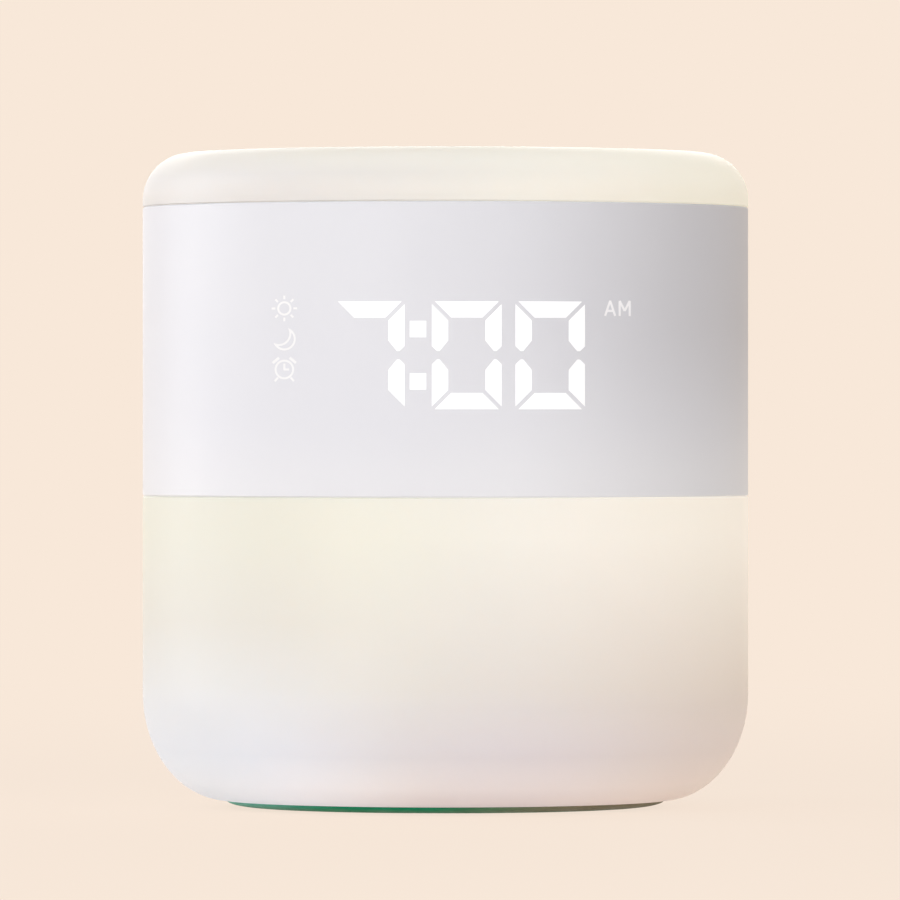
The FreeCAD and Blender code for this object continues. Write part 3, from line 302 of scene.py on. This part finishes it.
def cap_glow(nodes, x, z):
    """Painted glow: the light of the lamps under the cap, painted on as emission, painted brighter on one
    side and, on the other, towards the top face, where light from above falls.
    """
    # Painted light: brighter on one side, and painted lighter towards the top face where light from above
    # falls.
    side = nodes.remap(x, -25 * MM, OUTER_R, smooth=True)
    other_side = nodes.remap(x, OUTER_R, -25 * MM, smooth=True)
    top = nodes.times(nodes.remap(z, 120 * MM, 125 * MM), other_side)
    return sum_of(nodes, (side, (0.30, 0.285, 0.20)), (top, (0.12, 0.105, 0.05)))


def milky():
    """Frosted milk-white plastic, with painted shade that greys one side, and the warm light of the lamps
    behind it painted on as emission.
    """
    material, nodes, shader = new_material("milky_plastic")
    x, _, z = nodes.axes()
    cloud = nodes.remap(nodes.noise(22.0, 2.0, 0.4), 0.35, 0.65, smooth=True)
    base = nodes.blend(cloud, (0.745, 0.72, 0.675), (0.755, 0.72, 0.685))
    # Painted shade: the base is painted greyer towards one side, to tone down the light that falls there.
    painted_shade_side = nodes.remap(x, -15 * MM, -50 * MM, smooth=True)
    base = nodes.blend(painted_shade_side, base, (0.695, 0.675, 0.65))
    rubbed = nodes.rubbed(0.3 * MM, 500.0, 0.4)
    base = nodes.blend(nodes.times(rubbed, 0.4), base, (0.9, 0.88, 0.86))
    nodes.put(shader.inputs["Base Color"], base)
    smear = nodes.noise(60.0, 4.0, 0.55, stretch=(1.0, 1.0, 0.4))
    nodes.put(shader.inputs["Roughness"], nodes.remap(smear, 0.3, 0.7, 0.42, 0.54))
    fine = nodes.noise(5200.0, 3.0, 0.6)
    wave = nodes.noise(35.0, 1.0)
    ripple = nodes.bump(wave, 0.25 * MM, 0.12)
    nodes.put(shader.inputs["Normal"], nodes.bump(fine, 0.02 * MM, 0.3, ripple))
    shader.inputs["IOR"].default_value = 1.49
    shader.inputs["Subsurface Weight"].default_value = 0.35
    shader.inputs["Subsurface Radius"].default_value = (1.0, 0.85, 0.75)
    shader.inputs["Subsurface Scale"].default_value = 3.0 * MM
    # Painted glow: the lamps' light is painted on the shell as emission, the band's glow below and the
    # cap's glow above.
    in_cap = nodes.remap(z, CAP_LIGHT_FROM, CAP_LIGHT_FULL)
    glow = nodes.blend(in_cap, shell_glow(nodes, x, z), cap_glow(nodes, x, z))
    nodes.put(shader.inputs["Emission Color"], glow)
    shader.inputs["Emission Strength"].default_value = 1.0
    return material


def band():
    """Satin plastic, cool white with a breath of lilac, rubbed only near its rims. Its lower part is
    painted lighter, and a little of the lower light is painted on near its foot as a glow, stronger on one
    side."""
    material, nodes, shader = new_material("band_plastic")
    x, _, z = nodes.axes()
    cloud = nodes.remap(nodes.noise(18.0, 2.0, 0.4), 0.35, 0.65, smooth=True)
    base = nodes.blend(cloud, (0.705, 0.715, 0.755), (0.72, 0.73, 0.765))
    # Painted light: the lower part of the band is painted lighter, where the glow of the shell below falls
    # on it.
    lit_low_part = nodes.remap(z, 75 * MM, 60 * MM, 0.0, 0.5, smooth=True)
    base = nodes.blend(lit_low_part, base, (0.76, 0.765, 0.78))
    rim = nodes.remap(nodes.off(z, BAND_MIDDLE), 25 * MM, 26.5 * MM)
    rubbed = nodes.rubbed(0.3 * MM, 500.0, 0.4)
    rubbed = nodes.times(rubbed, nodes.times(rim, 0.5))
    base = nodes.blend(rubbed, base, (0.9, 0.9, 0.9))
    nodes.put(shader.inputs["Base Color"], base)
    smear = nodes.noise(50.0, 4.0, 0.55, stretch=(1.0, 1.0, 0.4))
    nodes.put(shader.inputs["Roughness"], nodes.remap(smear, 0.3, 0.7, 0.38, 0.48))
    fine = nodes.noise(6500.0, 2.0, 0.6)
    nodes.put(shader.inputs["Normal"], nodes.bump(fine, 0.012 * MM, 0.25))
    # Painted glow: emission near the band's foot, stronger on one side, for the lower light of the shell
    # below.
    painted_glow = nodes.remap(x, -22 * MM, 55 * MM, 0.018, 0.109, smooth=True)
    painted_glow = nodes.times(painted_glow, nodes.remap(z, 95 * MM, 60 * MM, smooth=True))
    nodes.put(shader.inputs["Emission Color"], nodes.blend(painted_glow, BLACK, WHITE))
    shader.inputs["Emission Strength"].default_value = 1.0
    shader.inputs["Specular IOR Level"].default_value = 0.35
    shader.inputs["IOR"].default_value = 1.5
    return material


def lit(name, light):
    """Clear guide lit from behind, with a faint grain in its light."""
    material, nodes, shader = new_material(name)
    grain = nodes.remap(nodes.noise(900.0, 2.0), 0.3, 0.7, 0.88, 1.0)
    glow = nodes.blend(grain, shade(light, 0.9), light)
    nodes.put(shader.inputs["Base Color"], nodes.blend(grain, (0.34, 0.34, 0.35), (0.38, 0.38, 0.38)))
    nodes.put(shader.inputs["Emission Color"], glow)
    shader.inputs["Emission Strength"].default_value = 1.0
    nodes.put(shader.inputs["Roughness"], nodes.remap(nodes.noise(300.0, 3.0), 0.3, 0.7, 0.3, 0.42))
    nodes.put(shader.inputs["Normal"], nodes.bump(nodes.noise(6000.0), 0.01 * MM, 0.2))
    return material


def silicone():
    """Matt teal silicone with fine grain and a little dust. Its wall is paler on one side and browner on
    the other."""
    material, nodes, shader = new_material("teal_silicone")
    mottle = nodes.remap(nodes.noise(120.0, 4.0), 0.3, 0.7)
    base = nodes.blend(mottle, (0.002, 0.31, 0.14), (0.006, 0.37, 0.175))
    x, _, z = nodes.axes()
    wall = nodes.remap(z, 0.05 * MM, 0.3 * MM)
    pale = nodes.times(wall, nodes.remap(x, -18 * MM, -40 * MM, 0.0, 0.8, smooth=True))
    base = nodes.blend(pale, base, (0.20, 0.62, 0.50))
    # The wall is tinted browner towards one side.
    browner = nodes.times(wall, nodes.remap(x, -6 * MM, 26 * MM, 0.0, 0.85, smooth=True))
    base = nodes.blend(browner, base, (0.36, 0.30, 0.21))
    dust = nodes.remap(nodes.noise(2600.0, 2.0, 0.7), 0.66, 0.74)
    base = nodes.blend(nodes.times(dust, 0.2), base, (0.35, 0.38, 0.34))
    nodes.put(shader.inputs["Base Color"], base)
    nodes.put(shader.inputs["Roughness"], nodes.remap(nodes.noise(200.0, 4.0), 0.3, 0.7, 0.5, 0.66))
    fine = nodes.noise(3800.0, 3.0, 0.65)
    nodes.put(shader.inputs["Normal"], nodes.bump(fine, 0.03 * MM, 0.5))
    shader.inputs["Specular IOR Level"].default_value = 0.3
    shader.inputs["IOR"].default_value = 1.42
    return material


def circuit(name, mask, track):
    """Circuit board: solder mask over a net of copper tracks, with bare tinned spots."""
    material, nodes, shader = new_material(name)
    inputs = {"Vector": nodes.place(), "Scale": 420.0, "Randomness": 0.55}
    cells = nodes.add("TexVoronoi", inputs, feature="DISTANCE_TO_EDGE").outputs["Distance"]
    lines = nodes.remap(cells, 0.06, 0.03)
    base = nodes.blend(lines, mask, track)
    spots = nodes.add("TexVoronoi", {"Vector": nodes.place(), "Scale": 260.0}).outputs["Distance"]
    pads = nodes.remap(spots, 0.16, 0.13)
    base = nodes.blend(pads, base, (0.62, 0.6, 0.56))
    nodes.put(shader.inputs["Base Color"], base)
    nodes.put(shader.inputs["Metallic"], nodes.times(pads, 0.9))
    nodes.put(shader.inputs["Roughness"], nodes.remap(nodes.noise(500.0, 3.0), 0.3, 0.7, 0.3, 0.45))
    nodes.put(shader.inputs["Normal"], nodes.bump(lines, 0.03 * MM, 0.5))
    return material


def lamp():
    """Lit lamp, its yellow phosphor mottled with the white of its package."""
    material, nodes, shader = new_material("lamp")
    spots = nodes.noise(900.0, 2.0)
    base = nodes.blend(nodes.remap(spots, 0.4, 0.6), (0.85, 0.76, 0.35), (0.82, 0.8, 0.72))
    nodes.put(shader.inputs["Base Color"], base)
    nodes.put(shader.inputs["Roughness"], nodes.remap(spots, 0.3, 0.7, 0.3, 0.5))
    nodes.put(shader.inputs["Normal"], nodes.bump(spots, 0.02 * MM, 0.3))
    shader.inputs["Emission Color"].default_value = (1.0, 0.86, 0.6, 1.0)
    shader.inputs["Emission Strength"].default_value = 0.6
    return material


def foam():
    """Black foam with open cells."""
    material, nodes, shader = new_material("gasket_foam")
    cells = nodes.add("TexVoronoi", {"Vector": nodes.place(), "Scale": 2200.0}).outputs["Distance"]
    nodes.put(shader.inputs["Base Color"], nodes.blend(cells, (0.03, 0.03, 0.032), (0.07, 0.07, 0.072)))
    nodes.put(shader.inputs["Roughness"], nodes.remap(cells, 0.0, 1.0, 0.8, 0.95))
    nodes.put(shader.inputs["Normal"], nodes.bump(cells, 0.12 * MM, 0.7))
    return material


def paper():
    """Dark pulp of a speaker cone, with drawn-out fibres."""
    material, nodes, shader = new_material("cone_paper")
    fibres = nodes.noise(1800.0, 4.0, 0.7, stretch=(1.0, 0.2, 1.0))
    nodes.put(shader.inputs["Base Color"], nodes.blend(fibres, (0.06, 0.055, 0.05), (0.16, 0.15, 0.13)))
    nodes.put(shader.inputs["Roughness"], nodes.remap(fibres, 0.3, 0.7, 0.75, 0.95))
    nodes.put(shader.inputs["Normal"], nodes.bump(fibres, 0.06 * MM, 0.6))
    return material


def slot_name(material):
    """A material's name without the number that a second one of that name gets."""
    return material.name.split(".")[0]


def make_finishes():
    """One finish for each slot of the frame, under the slot's name."""
    finishes = [
        milky(),
        band(),
        lit("lit_guide", (0.66, 0.66, 0.67)),
        silicone(),
        plastic("base_plastic", (0.66, 0.65, 0.645), rough=0.55, grain=0.05, grain_size=0.3, wear=0.3),
        plastic("door_plastic", (0.67, 0.66, 0.655), rough=0.55, grain=0.05, grain_size=0.3, wear=0.35),
        plastic("frame_plastic", (0.62, 0.62, 0.6), rough=0.5),
        plastic("reflector_plastic", (0.86, 0.86, 0.84), rough=0.3, grain=0.01, grain_size=0.4, wear=0.1),
        plastic("shroud_plastic", (0.03, 0.03, 0.032), rough=0.5),
        plastic("panel_plastic", (0.685, 0.69, 0.725), rough=0.42, grain=0.02, grain_size=0.22, wear=0.35),
        plastic("key_plastic", (0.60, 0.595, 0.61), rough=0.4, grain=0.015, grain_size=0.2, wear=0.4),
        plastic("knob_plastic", (0.02, 0.17, 0.10), rough=0.4, grain=0.02, grain_size=0.2, wear=0.3),
        plastic("button_plastic", (0.78, 0.76, 0.73), rough=0.45, grain=0.03, grain_size=0.28, wear=0.35,
                edge_r=0.35, subsurface=0.2),
        circuit("circuit_board", (0.01, 0.09, 0.035), (0.03, 0.2, 0.07)),
        circuit("led_board", (0.72, 0.72, 0.7), (0.8, 0.8, 0.78)),
        lamp(),
        plastic("chip_black", (0.02, 0.02, 0.022), rough=0.4, grain=0.02, grain_size=0.15),
        plastic("connector_plastic", (0.78, 0.74, 0.62), rough=0.45),
        plastic("switch_plastic", (0.04, 0.04, 0.045), rough=0.42),
        metal("screw_steel", (0.60, 0.59, 0.57), rough=0.32, brushed=(1.0, 6.0, 1.0)),
        metal("cell_steel", (0.66, 0.65, 0.62), rough=0.24, brushed=(1.0, 12.0, 1.0)),
        metal("contact_steel", (0.68, 0.62, 0.45), rough=0.28, brushed=(8.0, 1.0, 1.0)),
        inlet(),
        metal("basket_steel", (0.32, 0.32, 0.33), rough=0.4),
        metal("magnet_steel", (0.5, 0.5, 0.5), rough=0.35),
        paper(),
        foam(),
        plastic("ribbon_plastic", (0.70, 0.69, 0.66), rough=0.5, grain=0.02, grain_size=0.6),
        plastic("wire_plastic", (0.30, 0.03, 0.025), rough=0.45),
    ]
    return {slot_name(finish): finish for finish in finishes}


def dress_frame(finishes):
    """Every CAD node gets the finish of its slot. The small marks are lit more faintly than the digits."""
    faint = {
        "icon_guides": lit("icon_light", (0.50, 0.50, 0.505)),
        "am_guide": lit("am_light", (0.54, 0.53, 0.54)),
    }
    for name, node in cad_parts.items():
        slot = node.material_slots[0]
        slot.material = faint.get(name) or finishes[slot_name(slot.material)]


def make_world():
    """Dim studio light, stronger from the left. The camera, and what mirrors, see the plain backdrop."""
    world = bpy.data.worlds.new("studio")
    bpy.context.scene.world = world
    world.use_nodes = True
    nodes = Nodes(world.node_tree)
    way = nodes.add("SeparateXYZ", {"Vector": nodes.add("TexCoord").outputs["Generated"]}).outputs
    level = nodes.remap(way["X"], -1.0, 1.0, WORLD_LEFT, WORLD_RIGHT)
    colour = nodes.blend(nodes.seen(), nodes.blend(level, BLACK, LIGHT_TINT), BACKDROP)
    background = world.node_tree.nodes["Background"]
    nodes.put(background.inputs["Color"], colour)
    background.inputs["Strength"].default_value = 1.0


def make_floor():
    """Round plain floor. Far from the object it is only its own pale colour, so that no horizon shows."""
    turns = [math.tau * i / FLOOR_SIDES for i in range(FLOOR_SIDES)]
    rim = [(FLOOR_R * math.cos(turn), FLOOR_R * math.sin(turn), -FLOOR_DROP) for turn in turns]
    mesh = bpy.data.meshes.new("floor")
    mesh.from_pydata(rim, [], [tuple(range(FLOOR_SIDES))])
    floor = bpy.data.objects.new("floor", mesh)
    bpy.context.scene.collection.objects.link(floor)

    material, nodes, shader = new_material("floor")
    tree = material.node_tree
    speckle = nodes.remap(nodes.noise(400.0, 3.0), 0.3, 0.7, 0.0, 0.02)
    nodes.put(shader.inputs["Base Color"], nodes.blend(speckle, BACKDROP, FLOOR_SPECKLE))
    shader.inputs["Roughness"].default_value = 0.9
    shader.inputs["Specular IOR Level"].default_value = 0.0
    even = nodes.add("Emission", {"Color": BACKDROP})
    x, y, _ = nodes.axes()
    away = nodes.maths("SQRT", nodes.maths("ADD", nodes.times(x, x), nodes.times(y, y)))
    evenness = nodes.remap(away, SHADOW_R, SHADOW_END_R, FLOOR_EVENNESS, 1.0, smooth=True)
    share = nodes.times(nodes.seen(), evenness)
    mixed = nodes.add("MixShader", {0: share, 1: shader.outputs["BSDF"], 2: even.outputs["Emission"]})
    tree.links.new(mixed.outputs["Shader"], tree.nodes["Material Output"].inputs["Surface"])
    mesh.materials.append(material)


def soft_light(name, azimuth, height, away, size, power):
    """Square soft light that looks at the middle of the object. Azimuth 0 is in front, 90 at +X."""
    turn = math.radians(azimuth)
    data = bpy.data.lights.new(name, "AREA")
    data.size = size
    data.energy = power
    data.color = LIGHT_TINT
    light = bpy.data.objects.new(name, data)
    light.location = (away * math.sin(turn), -away * math.cos(turn), height)
    light.rotation_mode = "QUATERNION"
    light.rotation_quaternion = (Vector(LIGHT_TARGET) - light.location).to_track_quat("-Z", "Y")
    bpy.context.scene.collection.objects.link(light)


def make_lights():
    """Lights in front, above and behind. The rear ones keep the object's rims bright."""
    soft_light("left_light", azimuth=-106, height=0.35, away=1.0, size=0.7, power=4.4)
    soft_light("near_left_light", azimuth=-35, height=0.4, away=1.1, size=0.6, power=3.4)
    soft_light("front_light", azimuth=-10, height=0.45, away=1.3, size=0.6, power=2.9)
    soft_light("right_light", azimuth=26, height=0.45, away=1.3, size=0.6, power=4.2)
    soft_light("top_light", azimuth=0, height=1.3, away=0.05, size=0.9, power=3.5)
    soft_light("rear_light", azimuth=180, height=0.5, away=1.2, size=0.7, power=3.0)
    soft_light("rear_left_light", azimuth=-160, height=0.4, away=1.2, size=0.6, power=1.1)
    soft_light("rear_right_light", azimuth=125, height=0.5, away=1.2, size=0.5, power=0.9)


def arc(x, z, radius, start, end, count):
    """Points on an arc in mm, with angles in degrees from +X towards +Z."""
    turns = [math.radians(start + (end - start) * i / count) for i in range(count + 1)]
    return [(x + radius * math.cos(t), z + radius * math.sin(t)) for t in turns]


def stroke_edges(path, width, closed):
    """Both edges of a stroke of even width along the path, mitred at its corners."""
    points = [Vector(p) for p in path]
    count = len(points)
    left = []
    right = []
    for i, point in enumerate(points):
        ways = []
        if closed or i > 0:
            ways.append((point - points[i - 1]).normalized())
        if closed or i < count - 1:
            ways.append((points[(i + 1) % count] - point).normalized())
        along = sum(ways, Vector((0, 0))).normalized()
        across = Vector((-along.y, along.x))
        reach = width / 2 / max(MITRE_LIMIT, along.dot(ways[0]))
        left.append(point + across * reach)
        right.append(point - across * reach)
    return left, right


def raised_marks(name, strokes, width, place, body, material):
    """Thin raised strokes that ride on a body. Each stroke is a path in mm and whether it is closed, and
    place(u, v, lift) puts a point on the carrying face."""
    vertices = []
    faces = []
    for path, closed in strokes:
        left, right = stroke_edges(path, width, closed)
        first = len(vertices)
        for a, b in zip(left, right):
            for edge, lift in ((a, PRINT_LIFT), (b, PRINT_LIFT), (b, -PRINT_SINK), (a, -PRINT_SINK)):
                vertices.append(place(edge.x * MM, edge.y * MM, lift))
        count = len(left)
        for i in range(count if closed else count - 1):
            here = first + 4 * i
            there = first + 4 * ((i + 1) % count)
            for k in range(4):
                after = (k + 1) % 4
                faces.append((here + k, there + k, there + after, here + after))
        if not closed:
            faces.append(tuple(first + k for k in range(4)))
            faces.append(tuple(first + 4 * (count - 1) + k for k in (3, 2, 1, 0)))
    mesh = bpy.data.meshes.new(name)
    mesh.from_pydata(vertices, [], faces)
    shape = bmesh.new()
    shape.from_mesh(mesh)
    bmesh.ops.recalc_face_normals(shape, faces=shape.faces)
    shape.to_mesh(mesh)
    shape.free()
    mesh.materials.append(material)
    piece = bpy.data.objects.new(name, mesh)
    bpy.context.scene.collection.objects.link(piece)
    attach(piece, body)


def on_rear(radius, centre_x, centre_z):
    """Places a mark on a round face behind the object, to be read from behind."""
    def place(u, v, lift):
        x = centre_x - u
        return x, math.sqrt((radius + lift) ** 2 - x ** 2), centre_z + v
    return place


def on_underside(height, centre_x, centre_y):
    """Places a mark on a flat face that looks down, to be read from below."""
    def place(u, v, lift):
        return centre_x + u, centre_y - v, height - lift
    return place


def letters(word, height, pitch):
    """Plain capitals O, N and F as strokes, centred on the word."""
    half_w = height * 0.33
    half_h = height / 2
    shapes = {
        "O": [(arc(0, 0, 1.0, 0, 348, 29), True)],
        "N": [([(-1, -1), (-1, 1), (1, -1), (1, 1)], False)],
        "F": [([(-1, -1), (-1, 1), (1, 1)], False), ([(-1, 0.05), (0.7, 0.05)], False)],
    }
    strokes = []
    for i, letter in enumerate(word):
        shift = (i - (len(word) - 1) / 2) * pitch
        for path, closed in shapes[letter]:
            strokes.append(([(shift + u * half_w, v * half_h) for u, v in path], closed))
    return strokes


def plus_strokes(reach, gap):
    """A plus of one level stroke and two upright ones, which stop short of it."""
    level = ([(-reach, 0), (reach, 0)], False)
    lower = ([(0, -reach), (0, -gap)], False)
    upper = ([(0, gap), (0, reach)], False)
    return [level, lower, upper]


def make_key_signs(ink):
    """A clock, a bell, a minus and a plus on the four keys."""
    face = (arc(0, 0, 1.45, 0, 350, 35), True)
    hands = ([(0, 0.85), (0, 0), (0.65, 0)], False)
    bell = [(-1.5, -0.95), (-1.0, -0.45)] + arc(0, 0.15, 1.0, 180, 0, 14) + [(1.0, -0.45), (1.5, -0.95)]
    clapper = (arc(0, -1.05, 0.45, 200, 340, 6), False)
    signs = {
        "time_key": [face, hands],
        "alarm_key": [(bell, True), clapper],
        "minus_key": [([(-1.15, 0), (1.15, 0)], False)],
        "plus_key": plus_strokes(1.15, 0.2),
    }
    for key, strokes in signs.items():
        middle = centre_of(key)
        place = on_rear(KEY_R, middle.x, middle.z)
        raised_marks(key + "_sign", strokes, SIGN_STROKE, place, key, ink)


def make_marks():
    """Signs on the keys, ON and OFF by the alarm slide, and a plus in a ring on the battery door."""
    ink = plastic("sign_ink", (0.10, 0.10, 0.105), rough=0.5, grain=0.01, grain_size=0.3, wear=0.1)
    make_key_signs(ink)
    slide = centre_of("alarm_switch")
    for word, side in (("ON", -1), ("OFF", 1)):
        place = on_rear(PANEL_R, side * LEGEND_X, slide.z)
        strokes = letters(word, LEGEND_H, LEGEND_PITCH)
        raised_marks("alarm_" + word.lower() + "_sign", strokes, LEGEND_STROKE, place, "clock", ink)
    door = plastic("door_mark", (0.60, 0.59, 0.585), rough=0.5, grain=0.03, grain_size=0.3, wear=0.4)
    ring = (arc(0, 0, 5.2, 0, 355, 71), True)
    place = on_underside(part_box("battery_door")[0].z, 0, 0)
    strokes = plus_strokes(2.2, 0.5) + [ring]
    raised_marks("battery_door_mark", strokes, DOOR_STROKE, place, "battery_door", door)


bpy.context.scene.view_settings.view_transform = "Standard"
make_camera()
make_world()
make_floor()
make_lights()
dress_frame(make_finishes())
make_marks()
